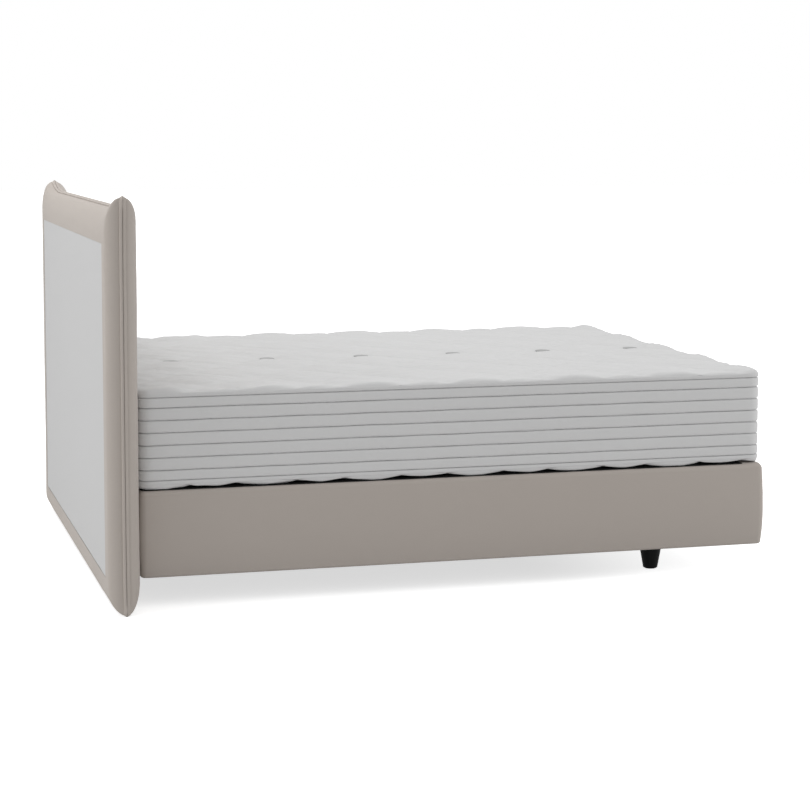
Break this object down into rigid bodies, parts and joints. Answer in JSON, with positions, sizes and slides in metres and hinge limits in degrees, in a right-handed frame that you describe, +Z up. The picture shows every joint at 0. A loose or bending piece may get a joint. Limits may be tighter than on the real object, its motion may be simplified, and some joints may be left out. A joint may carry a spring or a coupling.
{
  "type": "box spring bed",
  "caption": "Box spring bed with an upholstered box on short tapered legs, a loose quilted mattress and a free-standing pillow-shaped headboard with pointed corners.",
  "frame": {"origin": "on the floor, below the middle of the whole bed's bounding box", "axes": "+Z up; +Y along the bed from its foot to its headboard; +X to the left side of a person lying on their back, which is the side away from the camera in the picture"},
  "size_m": [1.8402, 2.1136, 1.222],
  "materials": {
    "taupe_upholstery": "smooth woven",
    "grey_back_cloth": "flat backing",
    "black_deck_cloth": "plain",
    "white_knit": "knit",
    "white_tape": "ribbed tape",
    "grey_felt": "felt",
    "foam": "open cell foam",
    "pocketed_springs": "nonwoven",
    "pine": "sawn",
    "fibreboard": "smooth board",
    "black_wood": "black lacquer",
    "zinc_steel": "zinc plated",
    "black_plastic": "matte"
  },
  "bodies": {
    "base": {"box_centre_beam": "pine", "box_corner_blocks": "pine", "box_cover": "taupe_upholstery", "box_deck_cloth": "black_deck_cloth", "box_dust_cloth": "black_deck_cloth", "box_edge_foam": "foam", "box_foot_rail": "pine", "box_head_rail": "pine", "box_leg_rail": "pine", "box_rail_screws": "zinc_steel", "box_side_padding": "foam", "box_side_rail_left": "pine", "box_side_rail_right": "pine", "box_slats": "pine", "box_springs": "pocketed_springs", "box_top_foam": "foam", "headboard_back_board": "fibreboard", "headboard_back_cloth": "grey_back_cloth", "headboard_back_cover": "taupe_upholstery", "headboard_back_foam": "foam", "headboard_back_welt": "taupe_upholstery", "headboard_bolts": "zinc_steel", "headboard_bottom_rail": "pine", "headboard_front_board": "fibreboard", "headboard_front_cover": "taupe_upholstery", "headboard_front_foam": "foam", "headboard_front_welt": "taupe_upholstery", "headboard_middle_rail": "pine", "headboard_nuts": "zinc_steel", "headboard_screws": "zinc_steel", "headboard_spacers": "zinc_steel", "headboard_stile_left": "pine", "headboard_stile_right": "pine", "headboard_top_rail": "pine", "headboard_washers": "zinc_steel", "leg_glides": "black_plastic", "leg_left": "black_wood", "leg_plate_screws": "zinc_steel", "leg_plates": "zinc_steel", "leg_right": "black_wood", "leg_studs": "zinc_steel"},
    "mattress": {"mattress_base_foam": "foam", "mattress_border": "white_knit", "mattress_bottom_panel": "white_knit", "mattress_bottom_tape": "white_tape", "mattress_edge_foam": "foam", "mattress_springs": "pocketed_springs", "mattress_top_foam": "foam", "mattress_top_panel": "white_knit", "mattress_top_tape": "white_tape", "mattress_tuft_anchors": "grey_felt", "mattress_tuft_tapes": "white_tape", "mattress_tufts": "grey_felt"}
  },
  "joints": [
    {"name": "mattress_lift", "type": "slide", "parent": "base", "child": "mattress", "axis": [0, 0, 1], "range_m": [0, 0.3]}
  ]
}
